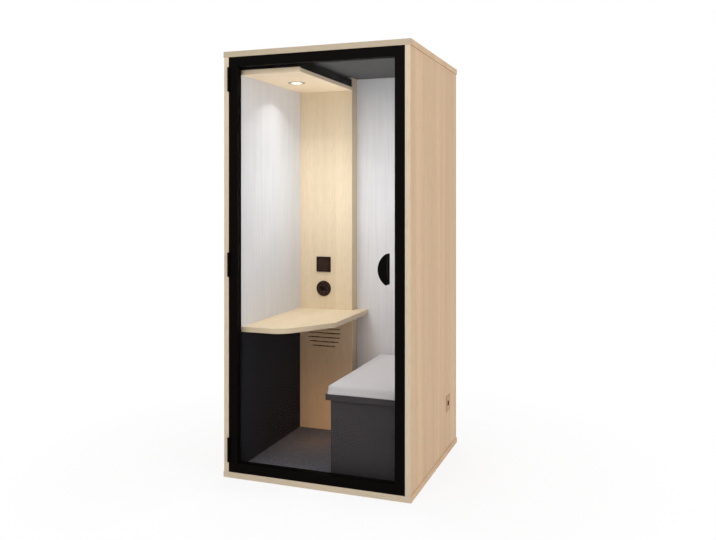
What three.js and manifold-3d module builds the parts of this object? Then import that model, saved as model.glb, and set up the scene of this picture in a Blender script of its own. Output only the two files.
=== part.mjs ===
import * as THREE from "three";
import { mergeVertices } from "three/addons/utils/BufferGeometryUtils.js";
import Module from "manifold-3d";

// One-person acoustic office pod, in millimetres, +Z up. Its glass door faces -Y and hangs on its left edge.
// The origin is the centre of the base's underside, where the pod stands on the floor.

// Carcass of veneered boards: the roof and base run past the side and back panels
const podWidth = 1010;
const podDepth = 967;
const podHeight = 2200;
const slabThickness = 30;
const panelThickness = 27;
const slabOverhang = 4;

// Lining, from the panels inwards
const coreThickness = 24.5;
const backCoreThickness = 35;
const feltThickness = 12;
const carpetThickness = 10;
const ceilingFeltThickness = 8;

// Clearances: between fitted pieces, round a fitting in its hole, and between running pieces
const fitClearance = 0.3;
const holeClearance = 0.5;
const runningClearance = 2;

// Door leaf: an aluminium frame with a rebate, open to the rear, for the glass and its bead
const leafGap = 3.5;
const leafThickness = 40;
const stileWidth = 47.5;
const topRailHeight = 46.5;
const bottomRailHeight = 47;
const lipDepth = 26;
const rebateWidth = 14;
const glassThickness = 10;
const glassEdgeClearance = 1;

// Jamb bars and rubber seal that the leaf closes on
const sealThickness = 4.7;
const sealWidth = 11;
const jambDepth = 17;
const jambHeadHeight = 37;
const sillHeight = 30;

// Lift-off hinges: the lower knuckle and its pin stay on the frame, the upper knuckle goes with the door
const hingeLength = 125;
const hingeEndDistance = 145;
const knuckleRadius = 6;
const hingePinRadius = 3.2;
const hingePinReach = 45;
const hingeLeafThickness = 2.4;
const hingeLeafDepth = 34;

// Pull handle: a segment of a disc on each side of the glass, on a spine along its straight edge
const handleHeight = 154;
const handleWidth = 43;
const handleThickness = 8;
const handleFingerGap = 18;
const handleStileGap = 43.5;
const handleCentreZ = 1100;
const handleSpineWidth = 9;
const handleBoltSpacing = 84;
const handleBoltRadius = 3;
const handleBoltReach = 12;

// Magnetic catch on the lock side
const catchLength = 60;
const catchWidth = 14;
const catchSeat = 10;
const catchAirGap = 0.5;
const catchInset = 3.5;
const strikeThickness = 2;

// Service column on the back wall and the canopy under the ceiling
const boardThickness = 18;
const columnWidth = 340.5;
const columnProud = 82;
const canopyThickness = 20;
const canopyDrop = 77;
const fasciaThickness = 3;
const fasciaAirGap = 12;

// Round air grille: rows of slots whose ends lie on a circle
const grilleRadius = 108;
const grilleCentreZ = 623;
const grilleRows = 7;
const grillePitch = 26;
const grilleSlotHeight = 7;

// Desk, measured from the left wall and from the cabin's front
const deskTopZ = 770;
const deskThickness = 26;
const deskWidth = 415;
const deskFrontWidth = 236;
const deskFrontSetback = 6;
const deskSlantDepth = 286;
const deskFrontRadius = 120;
const deskSideRadius = 30;
const bracketThickness = 3;
const bracketLeg = 36;
const wallBracketLength = 420;
const columnBracketLength = 240;

// Bench along the right wall
const benchTopZ = 460;
const benchBoardThickness = 30;
const benchWidth = 400;
const benchFrontSetback = 6;
const benchOverhang = 22;
const benchFrontOverhang = 18;
const benchRailWidth = 25;
const benchRailHeight = 40;

// Seat cushion: a firm pad with rounded edges, a slight crown and drawn-in sides
const cushionHeight = 54;
const cushionInset = 3;
const cushionEndInset = 0.5;
const cushionEdgeRadius = 9;
const cushionCrown = 5;
const cushionDrawIn = 3;
const cushionSpans = [6, 10, 1];
const cushionEdgeSteps = 3;

// Switch plate with two push keys, and the round power outlet below it
const serviceOffset = 158;
const switchCentreZ = 1041;
const switchSize = 91;
const switchThickness = 9;
const switchFloor = 1.5;
const keyWidth = 32;
const keyHeight = 65;
const keyProud = 1;
const keyTravel = 1.5;
const keyOverTravel = 0.5;
const outletCentreZ = 894.5;
const outletRadius = 46.5;
const outletThickness = 9;
const outletBarrelRadius = 25;
const outletBarrelDepth = 16;
const outletCupRadius = 21;
const outletCupDepth = 18;
const outletEdge = 3;

// Power inlet on the outside of the right panel
const inletFromBack = 210;
const inletCentreZ = 285;
const inletSize = 88;
const inletPlateThickness = 3;
const inletBoxWidth = 40;
const inletBoxHeight = 34;
const inletBoxDepth = 20;
const inletWall = 4;

// Downlight in the canopy
const lightFromFront = 352;
const lightTrimRadius = 50;
const lightTrimThickness = 4;
const lightBoreRadius = 30;
const lightSleeveRadius = 38;
const lightSleeveHeight = 15;
const lensThickness = 4;
const lensRecess = 1;
const lightBodyHeight = 42;
const lightFinDepth = 6;
const lightFinCount = 3;

// Fans: one behind the grille, one over the canopy
const intakeFanSize = 200;
const intakeFanDepth = 36;
const exhaustFanSize = 120;
const exhaustFanDepth = 28;
const exhaustFromColumn = 160;
const fanRim = 8;
const intakeHubRadius = 34;
const exhaustHubRadius = 20;
const fanBlades = 7;
const fanBladeThickness = 2.4;
const fanBladePitch = Math.PI / 5;
const fanStatorDepth = 9;
const fanFaceSetback = 3;
const fanShaftRadius = 4;
const fanShaftReach = 6;
const fanStrutWidth = 8;

// Air slots through the roof and the back panel
const ventSlotHeight = 10;
const ventSlotPitch = 20;
const roofVentRows = 6;
const rearVentRows = 10;
const rearVentWidth = 200;
const rearVentCentreZ = 1600;

// Power supply on the back of the column
const supplyWidth = 62;
const supplyHeight = 150;
const supplyDepth = 40;
const supplyCentreZ = 1300;

// How far solids run into each other where they are joined or cut, and how near points are welded
const joinOverlap = 1;
const weldDistance = 1e-4;

// Facets: steps on a half turn of small or hidden rounds, of rounds that show, and of a slot's end
const coarseSteps = 6;
const fineSteps = 16;
const slotSteps = 3;

// Planes that the pieces share
const frontY = -podDepth / 2;
const backY = podDepth / 2;
const sideX = podWidth / 2 - slabOverhang;
const panelInnerX = sideX - panelThickness;
const feltBackX = panelInnerX - coreThickness;
const cabinX = feltBackX - feltThickness;
const rearFaceY = backY - slabOverhang;
const panelInnerY = rearFaceY - panelThickness;
const feltBackY = panelInnerY - backCoreThickness;
const cabinBackY = feltBackY - feltThickness;
const floorZ = slabThickness + carpetThickness;
const roofZ = podHeight - slabThickness;
const ceilingZ = roofZ - ceilingFeltThickness;
const leafBackY = frontY + leafThickness;
const jambFrontY = leafBackY + fitClearance + sealThickness;
const cabinFrontY = jambFrontY + jambDepth;
const leafX = panelInnerX - leafGap;
const leafBottomZ = slabThickness + leafGap;
const leafTopZ = roofZ - leafGap;
const openingX = leafX - stileWidth;
const openingBottomZ = leafBottomZ + bottomRailHeight;
const openingTopZ = leafTopZ - topRailHeight;
const lipBackY = frontY + lipDepth;
const glassBackY = lipBackY + glassThickness;
const columnX = columnWidth - cabinX;
const columnFrontY = cabinBackY - columnProud;
const columnBackY = columnFrontY + boardThickness;
const columnCentreX = (columnX - cabinX) / 2;
const serviceX = serviceOffset - cabinX;
const canopyZ = ceilingZ - canopyDrop;
const canopyTopZ = canopyZ + canopyThickness;
const deskBottomZ = deskTopZ - deskThickness;
const deskMiddleZ = (deskTopZ + deskBottomZ) / 2;
const deskFrontY = cabinFrontY + deskFrontSetback;
const benchX = cabinX - benchWidth;
const benchPanelX = benchX + benchOverhang;
const benchUnderZ = benchTopZ - benchBoardThickness;
const benchFrontY = cabinFrontY + benchFrontSetback;
const benchPanelFrontY = benchFrontY + benchFrontOverhang;
const benchPanelBackY = benchPanelFrontY + boardThickness;
const hingeX = -(panelInnerX + leafX) / 2;
const hingeY = frontY - knuckleRadius - holeClearance;
const handleChordX = openingX - handleStileGap;
const handleBoltX = handleChordX - handleSpineWidth / 2;
const exhaustY = columnFrontY - exhaustFromColumn;
const lightY = cabinFrontY + lightFromFront;

const wood = { color: 0xd9bb92, roughness: 0.5, metalness: 0 };
const felt = { color: 0xcfcac8, roughness: 0.95, metalness: 0 };
const darkFelt = { color: 0x565554, roughness: 0.95, metalness: 0 };
const coreFoam = { color: 0x8a8a86, roughness: 1, metalness: 0 };
const darkPanel = { color: 0x1e1d20, roughness: 0.7, metalness: 0 };
const benchLaminate = { color: 0x3b393b, roughness: 0.6, metalness: 0 };
const carpetPile = { color: 0x4a4446, roughness: 1, metalness: 0 };
const blackMetal = { color: 0x15120f, roughness: 0.45, metalness: 0.6 };
const steel = { color: 0xa9abad, roughness: 0.35, metalness: 1 };
const rubber = { color: 0x151515, roughness: 0.85, metalness: 0 };
const blackPlastic = { color: 0x1c1917, roughness: 0.5, metalness: 0 };
const brownPlastic = { color: 0x9a7458, roughness: 0.55, metalness: 0 };
const clearGlass = { color: 0xeef4f2, roughness: 0.02, metalness: 0, transparent: true, opacity: 0.2 };
const lampGlass = { color: 0xfff6e6, roughness: 0.3, metalness: 0, emissive: 0xfff1d8 };

const wasm = await Module();
wasm.setup();
const pod = new THREE.Group();
pod.name = "acoustic_office_pod";

function add(name, geometry, finish) {
  const mesh = new THREE.Mesh(geometry, new THREE.MeshStandardMaterial(finish));
  mesh.name = name;
  pod.add(mesh);
}

// A closed geometry as a solid for joins and cuts, and a solid back as a geometry
function toSolid(geometry) {
  const bare = geometry.clone();
  bare.deleteAttribute("normal");
  bare.deleteAttribute("uv");
  const merged = mergeVertices(bare, weldDistance);
  const vertProperties = merged.getAttribute("position").array;
  const triVerts = new Uint32Array(merged.getIndex().array);
  return new wasm.Manifold(new wasm.Mesh({ numProp: 3, vertProperties, triVerts }));
}

function toGeometry(solid) {
  const { vertProperties, triVerts } = solid.getMesh();
  const geometry = new THREE.BufferGeometry();
  geometry.setAttribute("position", new THREE.BufferAttribute(vertProperties, 3));
  geometry.setIndex(new THREE.BufferAttribute(triVerts, 1));
  geometry.computeVertexNormals();
  return geometry;
}

function join(...pieces) {
  return toGeometry(pieces.map(toSolid).reduce((whole, piece) => whole.add(piece)));
}

function cut(piece, ...tools) {
  return toGeometry(tools.map(toSolid).reduce((rest, tool) => rest.subtract(tool), toSolid(piece)));
}

// A box from its bounds, so that neighbours that share a plane share it exactly
function block(x0, x1, y0, y1, z0, z1) {
  const geometry = new THREE.BoxGeometry(1, 1, 1);
  const position = geometry.getAttribute("position");
  for (let i = 0; i < position.count; i++) {
    const x = position.getX(i) < 0 ? x0 : x1;
    const y = position.getY(i) < 0 ? y0 : y1;
    const z = position.getZ(i) < 0 ? z0 : z1;
    position.setXYZ(i, x, y, z);
  }
  return geometry;
}

// A box round a centre in X and Z, between two planes in Y
function tile(x, z, sizeX, sizeZ, y0, y1) {
  return block(x - sizeX / 2, x + sizeX / 2, y0, y1, z - sizeZ / 2, z + sizeZ / 2);
}

// A flat outline made solid between two planes: its own plane is XY, XZ or YZ for an axis of z, y or x
function prism(shape, axis, from, to, curveSegments = coarseSteps) {
  const geometry = new THREE.ExtrudeGeometry(shape, { depth: 1, bevelEnabled: false, curveSegments });
  const position = geometry.getAttribute("position");
  for (let i = 0; i < position.count; i++) {
    const u = position.getX(i);
    const v = position.getY(i);
    const far = position.getZ(i) > 0;
    if (axis === "x") position.setXYZ(i, far ? to : from, u, v);
    if (axis === "y") position.setXYZ(i, u, far ? from : to, v);
    if (axis === "z") position.setXYZ(i, u, v, far ? to : from);
  }
  return geometry;
}

function rectangle(u0, u1, v0, v1, Outline = THREE.Shape) {
  const outline = new Outline();
  outline.moveTo(u0, v0).lineTo(u1, v0).lineTo(u1, v1).lineTo(u0, v1).closePath();
  return outline;
}

function frameOutline(u0, u1, v0, v1, member) {
  const outline = rectangle(u0, u1, v0, v1);
  outline.holes.push(rectangle(u0 + member, u1 - member, v0 + member, v1 - member, THREE.Path));
  return outline;
}

function roundHole(u, v, radius) {
  return new THREE.Path().absarc(u, v, radius, 0, 2 * Math.PI, true);
}

// A slot with round ends, as a hole for an outline
function slotHole(u, v, length, slotHeight) {
  const radius = slotHeight / 2;
  const run = length / 2 - radius;
  const slot = new THREE.Path();
  slot.absarc(u + run, v, radius, -Math.PI / 2, Math.PI / 2, false);
  slot.absarc(u - run, v, radius, Math.PI / 2, 1.5 * Math.PI, false);
  return slot;
}

// An outline through corners [u, v, radius], each rounded by an arc where its radius isn't 0
function roundedOutline(corners) {
  const outline = new THREE.Shape();
  corners.forEach(([u, v, radius], i) => {
    const corner = new THREE.Vector2(u, v);
    const before = new THREE.Vector2(...corners.at(i - 1)).sub(corner).normalize();
    const after = new THREE.Vector2(...corners[(i + 1) % corners.length]).sub(corner).normalize();
    const halfAngle = Math.acos(before.dot(after)) / 2;
    const run = radius / Math.tan(halfAngle);
    const start = corner.clone().addScaledVector(before, run);
    if (i === 0) outline.moveTo(start.x, start.y);
    else outline.lineTo(start.x, start.y);
    if (radius === 0) return;
    const middle = before.clone().add(after).normalize();
    const centre = corner.clone().addScaledVector(middle, radius / Math.sin(halfAngle));
    const end = corner.clone().addScaledVector(after, run);
    const from = start.clone().sub(centre).angle();
    const to = end.clone().sub(centre).angle();
    outline.absarc(centre.x, centre.y, radius, from, to, before.cross(after) > 0);
  });
  return outline.closePath();
}

// A turned solid about Z from [radius, height] points that start and end on the axis, upwards outside
function turned(points, x, y, z, steps) {
  const profile = points.map(([radius, level]) => new THREE.Vector2(radius, level));
  return new THREE.LatheGeometry(profile, 2 * steps).rotateX(Math.PI / 2).translate(x, y, z);
}

function rod(radius, x, y, z0, z1, steps = coarseSteps) {
  return turned([[0, 0], [radius, 0], [radius, z1 - z0], [0, z1 - z0]], x, y, z0, steps);
}

// A rod that lies along Y
function crossRod(radius, x, z, y0, y1, steps = coarseSteps) {
  const outline = new THREE.Shape().absarc(x, z, radius, 0, 2 * Math.PI, false);
  return prism(outline, "y", y0, y1, steps);
}

// Carcass
function makeCarcass() {
  const halfWidth = podWidth / 2;
  const ventRows = (rows) => [...Array(rows).keys()].map((row) => (row - (rows - 1) / 2) * ventSlotPitch);
  add("base_panel", block(-halfWidth, halfWidth, frontY, backY, 0, slabThickness), wood);

  const roof = rectangle(-halfWidth, halfWidth, frontY, backY);
  const roofSlot = exhaustFanSize - 2 * fanRim;
  for (const offset of ventRows(roofVentRows)) {
    roof.holes.push(slotHole(columnCentreX, exhaustY + offset, roofSlot, ventSlotHeight));
  }
  add("roof_panel", prism(roof, "z", roofZ, podHeight, slotSteps), wood);

  add("left_outer_panel", block(-sideX, -panelInnerX, frontY, rearFaceY, slabThickness, roofZ), wood);
  const rightPanel = rectangle(frontY, rearFaceY, slabThickness, roofZ);
  rightPanel.holes.push(inletBoxHoleOutline());
  add("right_outer_panel", prism(rightPanel, "x", panelInnerX, sideX), wood);

  const backPanel = rectangle(-panelInnerX, panelInnerX, slabThickness, roofZ);
  for (const offset of ventRows(rearVentRows)) {
    backPanel.holes.push(slotHole(columnCentreX, rearVentCentreZ + offset, rearVentWidth, ventSlotHeight));
  }
  add("back_outer_panel", prism(backPanel, "y", panelInnerY, rearFaceY, slotSteps), wood);
}

// Acoustic cores, felt, carpet and the dark panel under the desk
function makeLining() {
  const sideCore = (x0, x1) => block(x0, x1, cabinFrontY, panelInnerY, slabThickness, ceilingZ);
  add("left_acoustic_core", sideCore(-panelInnerX, -feltBackX), coreFoam);
  add("right_acoustic_core", sideCore(feltBackX, panelInnerX), coreFoam);
  const ventHeight = rearVentRows * ventSlotPitch;
  const ventSide = rearVentWidth / 2;
  const backCore = rectangle(-feltBackX, feltBackX, slabThickness, ceilingZ);
  const ventBottomZ = rearVentCentreZ - ventHeight / 2;
  const ventTopZ = rearVentCentreZ + ventHeight / 2;
  backCore.holes.push(
    rectangle(columnCentreX - ventSide, columnCentreX + ventSide, ventBottomZ, ventTopZ, THREE.Path),
  );
  add("back_acoustic_core", prism(backCore, "y", feltBackY, panelInnerY), coreFoam);

  add("left_felt_panel", block(-feltBackX, -cabinX, cabinFrontY, feltBackY, deskMiddleZ, ceilingZ), felt);
  add("left_lower_panel", block(-feltBackX, -cabinX, cabinFrontY, feltBackY, floorZ, deskMiddleZ), darkPanel);
  add("right_felt_panel", block(cabinX, feltBackX, cabinFrontY, feltBackY, floorZ, ceilingZ), felt);
  add("back_felt_panel", block(columnX, cabinX, cabinBackY, feltBackY, floorZ, ceilingZ), felt);
  const ceiling = rectangle(-panelInnerX, panelInnerX, cabinFrontY, panelInnerY);
  ceiling.holes.push(roundHole(columnCentreX, exhaustY, exhaustFanSize / 2 - fanRim));
  add("ceiling_felt_panel", prism(ceiling, "z", ceilingZ, roofZ, fineSteps), darkFelt);
  const carpet = block(-feltBackX, feltBackX, cabinFrontY, feltBackY, slabThickness, floorZ);
  add("floor_carpet", carpet, carpetPile);
}

// Service column with its air grille, and the canopy with its black fascia
function makeColumn() {
  const board = rectangle(-cabinX, columnX, floorZ, ceilingZ);
  for (let row = 0; row < grilleRows; row++) {
    const level = (row - (grilleRows - 1) / 2) * grillePitch;
    const reach = Math.sqrt(grilleRadius ** 2 - level ** 2);
    board.holes.push(slotHole(serviceX, grilleCentreZ + level, 2 * reach, grilleSlotHeight));
  }
  board.holes.push(roundHole(serviceX, outletCentreZ, outletBarrelRadius + holeClearance));
  add("column_board", prism(board, "y", columnFrontY, columnBackY), wood);
  const sideFromX = columnX - boardThickness;
  add("column_side_board", block(sideFromX, columnX, columnBackY, feltBackY, floorZ, ceilingZ), wood);

  const canopy = rectangle(-cabinX, columnX, cabinFrontY, columnFrontY);
  canopy.holes.push(roundHole(serviceX, lightY, lightSleeveRadius + holeClearance));
  add("canopy_board", prism(canopy, "z", canopyZ, canopyTopZ, fineSteps), wood);
  const fasciaX = columnX - fasciaThickness;
  const fasciaY = cabinFrontY + fasciaThickness;
  const fascia = new THREE.Shape();
  fascia.moveTo(-cabinX, cabinFrontY).lineTo(columnX, cabinFrontY).lineTo(columnX, columnFrontY);
  fascia.lineTo(fasciaX, columnFrontY).lineTo(fasciaX, fasciaY).lineTo(-cabinX, fasciaY).closePath();
  add("canopy_fascia", prism(fascia, "z", canopyTopZ, ceilingZ - fasciaAirGap), blackMetal);
}

// Desk with a slanted edge, and the two angle brackets that carry it
function makeDesk() {
  const slantX = deskFrontWidth - cabinX;
  const rightX = deskWidth - cabinX;
  const outline = roundedOutline([
    [-cabinX, deskFrontY, 0],
    [slantX, deskFrontY, deskFrontRadius],
    [rightX, deskFrontY + deskSlantDepth, deskSideRadius],
    [rightX, cabinBackY, 0],
    [columnX, cabinBackY, 0],
    [columnX, columnFrontY, 0],
    [-cabinX, columnFrontY, 0],
  ]);
  add("desk_top", prism(outline, "z", deskBottomZ, deskTopZ, fineSteps), wood);

  const legBottomZ = deskBottomZ - bracketLeg;
  const flangeZ = deskBottomZ - bracketThickness;
  const wallY = (deskFrontY + columnFrontY - wallBracketLength) / 2;
  const wallAngle = new THREE.Shape();
  wallAngle.moveTo(-cabinX, legBottomZ).lineTo(bracketThickness - cabinX, legBottomZ);
  wallAngle.lineTo(bracketThickness - cabinX, flangeZ).lineTo(bracketLeg - cabinX, flangeZ);
  wallAngle.lineTo(bracketLeg - cabinX, deskBottomZ).lineTo(-cabinX, deskBottomZ).closePath();
  add("desk_wall_bracket", prism(wallAngle, "y", wallY, wallY + wallBracketLength), blackMetal);

  const columnAngle = new THREE.Shape();
  columnAngle.moveTo(columnFrontY, deskBottomZ).lineTo(columnFrontY - bracketLeg, deskBottomZ);
  columnAngle.lineTo(columnFrontY - bracketLeg, flangeZ).lineTo(columnFrontY - bracketThickness, flangeZ);
  columnAngle.lineTo(columnFrontY - bracketThickness, legBottomZ).lineTo(columnFrontY, legBottomZ);
  columnAngle.closePath();
  const angleX = columnCentreX - columnBracketLength / 2;
  add("desk_column_bracket", prism(columnAngle, "x", angleX, angleX + columnBracketLength), blackMetal);
}

// A pad from a fine box: its edges are rounded, its top crowned and its sides drawn in between the corners
function cushion(x0, x1, y0, y1, z0, z1) {
  const half = [(x1 - x0) / 2, (y1 - y0) / 2, (z1 - cushionCrown - z0) / 2];
  const counts = cushionSpans.map((span) => span + 2 * cushionEdgeSteps);
  const geometry = new THREE.BoxGeometry(2, 2, 2, ...counts);
  const place = (share, axis) => {
    const step = Math.round(((share + 1) / 2) * counts[axis]);
    const flat = half[axis] - cushionEdgeRadius;
    const inner = THREE.MathUtils.clamp(step - cushionEdgeSteps, 0, cushionSpans[axis]);
    const outer = step - cushionEdgeSteps - inner;
    const edge = Math.sign(outer) * Math.sin((Math.abs(outer) / cushionEdgeSteps) * (Math.PI / 2));
    return [flat * ((2 * inner) / cushionSpans[axis] - 1), edge * cushionEdgeRadius];
  };
  const position = geometry.getAttribute("position");
  for (let i = 0; i < position.count; i++) {
    const shares = [position.getX(i), position.getY(i), position.getZ(i)];
    const placed = shares.map(place);
    const flat = new THREE.Vector3(...placed.map(([inner]) => inner));
    const edge = new THREE.Vector3(...placed.map(([, outer]) => outer));
    const point = flat.add(edge.setLength(cushionEdgeRadius));
    const alongX = 1 - (point.x / half[0]) ** 2;
    const alongY = 1 - (point.y / half[1]) ** 2;
    const rise = (point.z / half[2] + 1) / 2;
    point.z += cushionCrown * rise * alongX * alongY;
    point.x -= (point.x / half[0]) * cushionDrawIn * alongY;
    point.y -= (point.y / half[1]) * cushionDrawIn * alongX;
    position.setXYZ(i, (x0 + x1) / 2 + point.x, (y0 + y1) / 2 + point.y, z0 + half[2] + point.z);
  }
  return geometry;
}

// Bench: a board on two panels and a wall rail, with a loose cushion
function makeBench() {
  const topBoard = block(benchX, cabinX, benchFrontY, cabinBackY, benchUnderZ, benchTopZ);
  add("bench_top_board", topBoard, benchLaminate);
  const frontPanel = block(benchPanelX, cabinX, benchPanelFrontY, benchPanelBackY, floorZ, benchUnderZ);
  add("bench_front_panel", frontPanel, benchLaminate);
  const sideToX = benchPanelX + boardThickness;
  const sidePanel = block(benchPanelX, sideToX, benchPanelBackY, cabinBackY, floorZ, benchUnderZ);
  add("bench_side_panel", sidePanel, benchLaminate);
  const railFromX = cabinX - benchRailWidth;
  const railFromZ = benchUnderZ - benchRailHeight;
  const rail = block(railFromX, cabinX, benchPanelBackY, cabinBackY, railFromZ, benchUnderZ);
  add("bench_wall_rail", rail, wood);
  const pad = cushion(
    benchX + cushionInset,
    cabinX - fitClearance,
    benchFrontY + cushionEndInset,
    cabinBackY - fitClearance,
    benchTopZ + fitClearance,
    benchTopZ + fitClearance + cushionHeight,
  );
  add("seat_cushion", pad, felt);
}

// Fixed jamb: four bars behind the leaf, the seal on their faces and the catch magnet
function makeJamb() {
  const headZ = roofZ - jambHeadHeight;
  const sillZ = slabThickness + sillHeight;
  add("jamb_left", block(-panelInnerX, -cabinX, jambFrontY, cabinFrontY, sillZ, headZ), blackMetal);
  const seat = catchBlock(jambFrontY, jambFrontY + catchSeat, fitClearance);
  const rightBar = block(cabinX, panelInnerX, jambFrontY, cabinFrontY, sillZ, headZ);
  add("jamb_right", cut(rightBar, seat), blackMetal);
  add("jamb_head", block(-panelInnerX, panelInnerX, jambFrontY, cabinFrontY, headZ, roofZ), blackMetal);
  const sill = block(-panelInnerX, panelInnerX, jambFrontY, cabinFrontY, slabThickness, sillZ);
  add("jamb_sill", sill, blackMetal);
  const seal = frameOutline(-leafX, leafX, leafBottomZ, leafTopZ, sealWidth);
  add("door_seal", prism(seal, "y", leafBackY + fitClearance, jambFrontY), rubber);
  const magnetFrontY = leafBackY + catchAirGap;
  add("catch_magnet", catchBlock(magnetFrontY, jambFrontY + catchSeat - fitClearance, 0), blackPlastic);
}

// The catch's place on the lock side, grown all round by a clearance
function catchBlock(y0, y1, grow) {
  const x = cabinX + catchInset + catchWidth / 2;
  return tile(x, handleCentreZ, catchWidth + 2 * grow, catchLength + 2 * grow, y0, y1);
}

function hingeLevels() {
  return { lower: hingeEndDistance, middle: podHeight / 2, upper: podHeight - hingeEndDistance };
}

// A hinge leaf's plate on the leaf side of the gap, grown by a clearance to make its mortise
function doorLeafPlate(level, grow) {
  const x = -leafX;
  const halfLength = hingeLength / 2 + grow;
  const backPlateY = frontY + hingeLeafDepth + grow;
  return block(x, x + hingeLeafThickness + grow, frontY, backPlateY, level - halfLength, level + halfLength);
}

// Door leaf: stiles with a rebate, rails with tenons in it, glass and bead
function makeDoor() {
  const stile = (side) => {
    const outline = new THREE.Shape();
    const at = (x, y) => [side * x, y];
    const corners = [
      at(leafX, frontY),
      at(openingX, frontY),
      at(openingX, lipBackY),
      at(openingX + rebateWidth, lipBackY),
      at(openingX + rebateWidth, leafBackY),
      at(leafX, leafBackY),
    ];
    outline.setFromPoints(corners.map(([x, y]) => new THREE.Vector2(x, y)));
    return prism(outline, "z", leafBottomZ, leafTopZ);
  };
  const mortises = Object.values(hingeLevels()).map((level) => doorLeafPlate(level, fitClearance));
  add("door_hinge_stile", cut(stile(-1), ...mortises), blackMetal);
  const strikeSeat = catchBlock(leafBackY - strikeThickness - fitClearance, leafBackY, fitClearance);
  add("door_lock_stile", cut(stile(1), strikeSeat), blackMetal);
  add("strike_plate", catchBlock(leafBackY - strikeThickness, leafBackY, 0), steel);

  const tenonX = openingX + rebateWidth - fitClearance;
  const rail = (outerZ, innerZ, tenonZ) =>
    join(
      block(-openingX, openingX, frontY, lipBackY, Math.min(outerZ, innerZ), Math.max(outerZ, innerZ)),
      block(-tenonX, tenonX, lipBackY, leafBackY, Math.min(outerZ, tenonZ), Math.max(outerZ, tenonZ)),
    );
  const rebateBottomZ = openingBottomZ - rebateWidth;
  const rebateTopZ = openingTopZ + rebateWidth;
  add("door_bottom_rail", rail(leafBottomZ, openingBottomZ, rebateBottomZ), blackMetal);
  add("door_top_rail", rail(leafTopZ, openingTopZ, rebateTopZ), blackMetal);

  const glassX = openingX + rebateWidth - glassEdgeClearance;
  const glassBottomZ = rebateBottomZ + glassEdgeClearance;
  const glassTopZ = rebateTopZ - glassEdgeClearance;
  const pane = rectangle(-glassX, glassX, glassBottomZ, glassTopZ);
  for (const z of handleBoltLevels()) {
    pane.holes.push(roundHole(handleBoltX, z, handleBoltRadius + holeClearance));
  }
  add("door_glass", prism(pane, "y", lipBackY, glassBackY), clearGlass);
  const beadX = openingX + rebateWidth - fitClearance;
  const beadBottomZ = rebateBottomZ + fitClearance;
  const beadTopZ = rebateTopZ - fitClearance;
  const bead = frameOutline(-beadX, beadX, beadBottomZ, beadTopZ, rebateWidth - fitClearance);
  add("glazing_bead", prism(bead, "y", glassBackY, leafBackY), rubber);
}

function handleBoltLevels() {
  return [handleCentreZ - handleBoltSpacing / 2, handleCentreZ + handleBoltSpacing / 2];
}

// Handles: each plate's spine stands on the glass, and the inner one's bolts reach into the outer one
function makeHandles() {
  const halfHeight = handleHeight / 2;
  const radius = (halfHeight ** 2 + handleWidth ** 2) / (2 * handleWidth);
  const centreX = handleChordX - handleWidth + radius;
  const angle = Math.asin(halfHeight / radius);
  const swell = handleWidth > radius ? angle : Math.PI - angle;
  const segment = new THREE.Shape();
  segment.absarc(centreX, handleCentreZ, radius, swell, 2 * Math.PI - swell, false).closePath();
  const gripX = handleChordX - handleSpineWidth - handleWidth / 2;
  const spine = (y0, y1) => {
    const fromY = y0 - joinOverlap;
    const toY = y1 + joinOverlap;
    const grip = tile(gripX, handleCentreZ, handleWidth, 2 * handleHeight, fromY, toY);
    return cut(prism(segment, "y", y0, y1, fineSteps), grip);
  };
  const bolts = (boltRadius, y0, y1) =>
    handleBoltLevels().map((z) => crossRod(boltRadius, handleBoltX, z, y0, y1));

  const outerBackY = lipBackY - handleFingerGap;
  const outerPlate = prism(segment, "y", outerBackY - handleThickness, outerBackY, fineSteps);
  const outerBody = join(outerPlate, spine(outerBackY - joinOverlap, lipBackY - fitClearance));
  const boltFromY = lipBackY - handleBoltReach;
  const boltHoles = bolts(handleBoltRadius + fitClearance, boltFromY - fitClearance, lipBackY);
  add("outer_handle", cut(outerBody, ...boltHoles), blackMetal);

  const innerFrontY = glassBackY + handleFingerGap;
  const innerPlate = prism(segment, "y", innerFrontY, innerFrontY + handleThickness, fineSteps);
  const innerSpine = spine(glassBackY + fitClearance, innerFrontY + joinOverlap);
  const innerBolts = bolts(handleBoltRadius, boltFromY, innerFrontY + joinOverlap);
  add("inner_handle", join(innerPlate, innerSpine, ...innerBolts), blackMetal);
}

function makeHinges() {
  for (const [place, level] of Object.entries(hingeLevels())) {
    const bottom = level - hingeLength / 2;
    const top = level + hingeLength / 2;
    const plateBackY = frontY + hingeLeafDepth;
    const framePlateX = hingeLeafThickness - panelInnerX;
    const frameLeaf = join(
      block(-panelInnerX, framePlateX, frontY, plateBackY, bottom, top),
      block(-panelInnerX, framePlateX, hingeY, frontY + joinOverlap, bottom, level),
      rod(knuckleRadius, hingeX, hingeY, bottom, level),
      rod(hingePinRadius, hingeX, hingeY, level - joinOverlap, level + hingePinReach),
    );
    add(`hinge_frame_leaf_${place}`, frameLeaf, blackMetal);
    const upperFrom = level + fitClearance;
    const boreTop = level + hingePinReach + fitClearance;
    const doorPlateX = hingeLeafThickness - leafX;
    const doorLeaf = join(
      doorLeafPlate(level, 0),
      block(-leafX, doorPlateX, hingeY, frontY + joinOverlap, upperFrom, top),
      rod(knuckleRadius, hingeX, hingeY, upperFrom, top),
    );
    const bore = rod(hingePinRadius + fitClearance, hingeX, hingeY, level, boreTop);
    add(`hinge_door_leaf_${place}`, cut(doorLeaf, bore), blackMetal);
  }
}

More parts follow.
